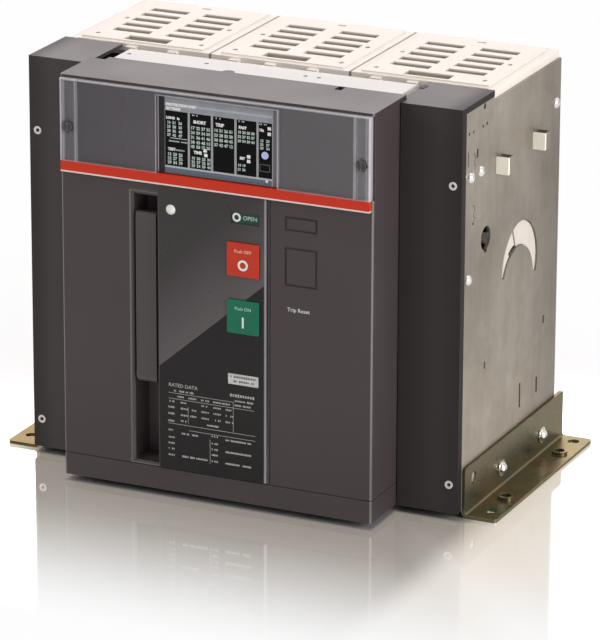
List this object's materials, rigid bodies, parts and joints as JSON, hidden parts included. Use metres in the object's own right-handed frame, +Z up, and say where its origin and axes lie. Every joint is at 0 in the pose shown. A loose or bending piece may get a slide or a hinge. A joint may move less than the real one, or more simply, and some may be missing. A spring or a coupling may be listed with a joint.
{
  "type": "air circuit breaker",
  "caption": "Fixed low-voltage open circuit breaker: dark front cover with clear lid, lever and push buttons, steel side plates, cream arc chute covers and floor angles.",
  "frame": {"origin": "on the floor in the middle of the four plain fixing holes of the two floor angles", "axes": "+X right seen from the front, +Y to the back, +Z up; the front faces -Y"},
  "size_m": [0.444, 0.2748, 0.347],
  "materials": {
    "cover_plastic": "fine satin texture",
    "panel_gloss": "glossy film",
    "clear_lid": "clear",
    "red_strip": "gloss",
    "white_line": "gloss",
    "zinc_screws": "zinc plated",
    "bezel": "satin",
    "screen": "gloss",
    "key_blue": "satin",
    "button_red": "satin",
    "button_green": "satin",
    "flag_green": "matt",
    "flag_silver": "matt",
    "dome_white": "gloss",
    "lever_plastic": "satin",
    "wing_plastic": "satin",
    "galvanised_steel": "galvanised",
    "yellow_zinc": "yellow passivated",
    "mechanism_steel": "plain",
    "white_plastic": "satin",
    "grey_plastic": "satin",
    "pole_moulding": "thermoset",
    "cream_moulding": "satin",
    "grid_grey": "matt",
    "silvered_copper": "silver plated"
  },
  "bodies": {
    "frame": {"front_cover": "cover_plastic", "control_panel": "panel_gloss", "lid": "clear_lid", "accent_strip": "red_strip", "accent_line": "white_line", "lid_screw_left": "zinc_screws", "lid_screw_right": "zinc_screws", "display_bezel": "bezel", "display_screen": "screen", "display_key": "key_blue", "contact_flag": "flag_green", "spring_flag": "flag_silver", "status_dome": "dome_white", "lever_pin": "zinc_screws", "wing_left": "wing_plastic", "wing_right": "wing_plastic", "wing_screws_left": "zinc_screws", "wing_screws_right": "zinc_screws", "side_plate_left": "galvanised_steel", "side_plate_right": "galvanised_steel", "floor_angle_left": "yellow_zinc", "floor_angle_right": "yellow_zinc", "angle_bolts_left": "zinc_screws", "angle_bolts_right": "zinc_screws", "mechanism_housing": "mechanism_steel", "terminal_cover": "white_plastic", "auxiliary_contacts": "grey_plastic", "pole_left": "pole_moulding", "pole_centre": "pole_moulding", "pole_right": "pole_moulding", "arc_chute_left": "cream_moulding", "arc_chute_centre": "cream_moulding", "arc_chute_right": "cream_moulding", "vent_grid_left": "grid_grey", "vent_grid_centre": "grid_grey", "vent_grid_right": "grid_grey", "terminals_left": "silvered_copper", "terminals_centre": "silvered_copper", "terminals_right": "silvered_copper", "crank_left": "cream_moulding", "crank_right": "cream_moulding", "support_pegs_left": "cream_moulding", "support_pegs_right": "cream_moulding"},
    "lever": {"charging_lever": "lever_plastic"},
    "off_button": {"push_off_button": "button_red"},
    "on_button": {"push_on_button": "button_green"}
  },
  "joints": [
    {"name": "charging_lever_hinge", "type": "hinge", "parent": "frame", "child": "lever", "pos_m": [-0.0621, -0.1609, 0.1013], "axis": [1, 0, 0], "range_deg": [0, 75], "stiffness_Nm_per_rad": 0.3},
    {"name": "off_button_slide", "type": "slide", "parent": "frame", "child": "off_button", "axis": [0, 1, 0], "range_m": [0, 0.003], "stiffness_N_per_m": 1500},
    {"name": "on_button_slide", "type": "slide", "parent": "frame", "child": "on_button", "axis": [0, 1, 0], "range_m": [0, 0.003], "stiffness_N_per_m": 1500}
  ]
}
